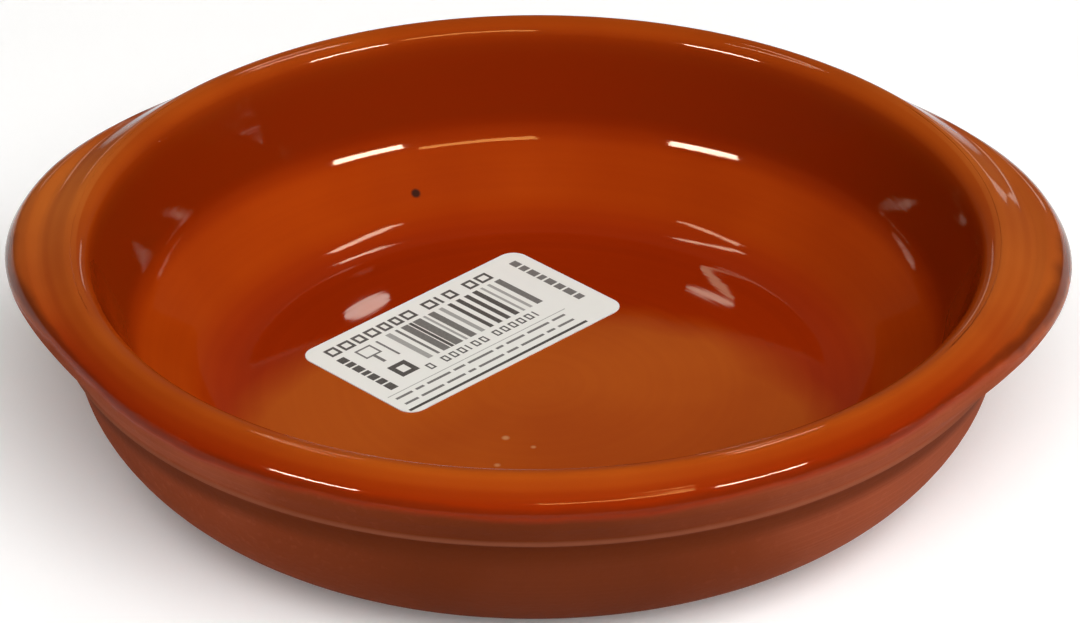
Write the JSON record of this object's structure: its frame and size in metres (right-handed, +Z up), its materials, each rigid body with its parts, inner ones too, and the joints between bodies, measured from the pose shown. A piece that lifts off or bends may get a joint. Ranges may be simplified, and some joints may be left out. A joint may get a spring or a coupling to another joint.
{
  "type": "cazuela oven dish",
  "caption": "Shallow round earthenware oven dish with a rolled rim, a crescent lug at each side and a plain paper label on its floor.",
  "frame": {"origin": "centre of the flat base, on the surface that the dish stands on", "axes": "+Z up through the dish's middle, +X through the two lugs"},
  "size_m": [0.1524, 0.14, 0.032],
  "materials": {
    "glazed_clay": "clear gloss glaze inside and over the rim, bare matt clay below",
    "label_paper": "smooth coated paper with plain printed bars"
  },
  "bodies": {
    "root": {"dish": "glazed_clay", "label": "label_paper"}
  },
  "joints": []
}
